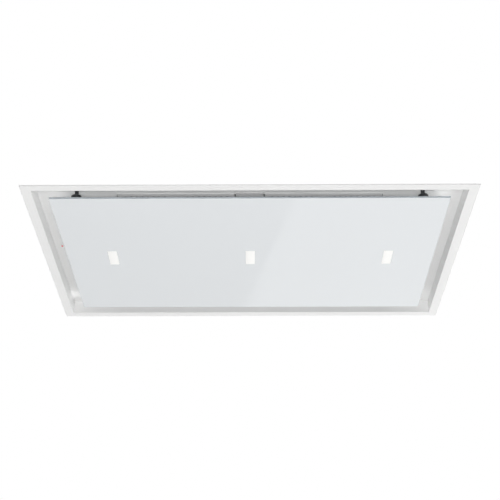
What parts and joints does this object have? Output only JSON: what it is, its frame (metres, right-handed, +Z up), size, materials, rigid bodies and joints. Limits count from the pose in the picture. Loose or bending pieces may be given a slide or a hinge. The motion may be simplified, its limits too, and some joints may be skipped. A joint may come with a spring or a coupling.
{
  "type": "ceiling range hood",
  "caption": "Ceiling range hood with perimeter suction: steel frame, hinged glass panel with lamps, grease filters, and a blower casing with a side duct spigot and damper.",
  "frame": {"origin": "centre of the ceiling cut-out, in the plane of the finished ceiling, which is the plane of the frame flange's upper face", "axes": "+X along the hood's long side towards the duct spigot, -Y towards the front edge where the panel opens, +Z up into the ceiling void"},
  "size_m": [0.9, 0.6, 0.2431],
  "materials": {
    "white_powder_coat": "satin powder coat",
    "white_glass": "polished, painted white on the back",
    "galvanised_sheet": "galvanised",
    "hinge_steel": "satin",
    "filter_steel": "brushed",
    "aluminium_mesh": "expanded mesh",
    "cast_aluminium": "as cast",
    "black_plastic": "fine grained",
    "grey_plastic": "moulded",
    "white_plastic": "moulded",
    "lamp_lens": "frosted",
    "red_lens": "clear moulded",
    "black_rubber": "matt",
    "sealing_foam": "closed-cell foam",
    "circuit_board": "lacquered"
  },
  "bodies": {
    "hood": {"ceiling_frame": "white_powder_coat", "tray_plate": "white_powder_coat", "magnet_catch_left": "black_plastic", "magnet_catch_right": "black_plastic", "hinge_bracket_left": "galvanised_sheet", "hinge_bracket_right": "galvanised_sheet", "hinge_pin_left": "hinge_steel", "hinge_pin_right": "hinge_steel", "filter_frame_left": "filter_steel", "filter_frame_right": "filter_steel", "filter_face_left": "filter_steel", "filter_face_right": "filter_steel", "filter_mesh_left": "aluminium_mesh", "filter_mesh_right": "aluminium_mesh", "filter_divider": "filter_steel", "casing_shell": "galvanised_sheet", "casing_lid": "galvanised_sheet", "fan_shelf": "galvanised_sheet", "hanger_front_left": "galvanised_sheet", "hanger_front_right": "galvanised_sheet", "hanger_back_left": "galvanised_sheet", "hanger_back_right": "galvanised_sheet", "scroll_housing": "grey_plastic", "scroll_cover": "galvanised_sheet", "inlet_bellmouth": "galvanised_sheet", "motor_body": "cast_aluminium", "motor_bracket": "galvanised_sheet", "motor_bush_1": "black_rubber", "motor_bush_2": "black_rubber", "motor_bush_3": "black_rubber", "outlet_gasket": "sealing_foam", "outlet_spigot": "black_plastic", "damper_pin": "hinge_steel", "control_box": "white_plastic", "control_box_cover": "white_plastic", "control_board": "circuit_board", "run_capacitor": "white_plastic", "terminal_block": "white_plastic", "cable_gland": "black_plastic", "led_driver": "white_plastic", "receiver_housing": "black_plastic", "indicator_lens": "red_lens"},
    "panel": {"glass_panel": "white_glass", "panel_carrier": "galvanised_sheet", "lamp_lens_left": "lamp_lens", "lamp_lens_centre": "lamp_lens", "lamp_lens_right": "lamp_lens", "lamp_body_left": "cast_aluminium", "lamp_body_centre": "cast_aluminium", "lamp_body_right": "cast_aluminium", "latch_stud_left": "black_plastic", "latch_stud_right": "black_plastic", "hinge_arm_left": "hinge_steel", "hinge_arm_right": "hinge_steel"},
    "fan_rotor": {"impeller": "grey_plastic", "motor_shaft": "hinge_steel"},
    "back_flap": {"damper_flap_back": "black_plastic"},
    "front_flap": {"damper_flap_front": "black_plastic"},
    "left_latch": {"filter_latch_left": "grey_plastic"},
    "right_latch": {"filter_latch_right": "grey_plastic"}
  },
  "joints": [
    {"name": "panel_hinge", "type": "hinge", "parent": "hood", "child": "panel", "pos_m": [0, 0.24, 0.014], "axis": [1, 0, 0], "range_deg": [0, 90]},
    {"name": "impeller_spin", "type": "hinge", "parent": "hood", "child": "fan_rotor", "pos_m": [-0.06, 0.02, 0.15], "axis": [0, 0, 1], "continuous": true},
    {"name": "back_flap_hinge", "type": "hinge", "parent": "hood", "child": "back_flap", "pos_m": [0.2942, -0.078, 0.1475], "axis": [0, 0, -1], "range_deg": [0, 80], "stiffness_Nm_per_rad": 0.01, "springref_deg": -17.19},
    {"name": "front_flap_hinge", "type": "hinge", "parent": "hood", "child": "front_flap", "pos_m": [0.2942, -0.078, 0.1475], "axis": [0, 0, 1], "range_deg": [0, 80], "stiffness_Nm_per_rad": 0.01, "springref_deg": -17.19},
    {"name": "left_latch_slide", "type": "slide", "parent": "hood", "child": "left_latch", "axis": [0, 1, 0], "range_m": [0, 0.007], "stiffness_N_per_m": 300, "springref_m": -0.003},
    {"name": "right_latch_slide", "type": "slide", "parent": "hood", "child": "right_latch", "axis": [0, 1, 0], "range_m": [0, 0.007], "stiffness_N_per_m": 300, "springref_m": -0.003}
  ]
}
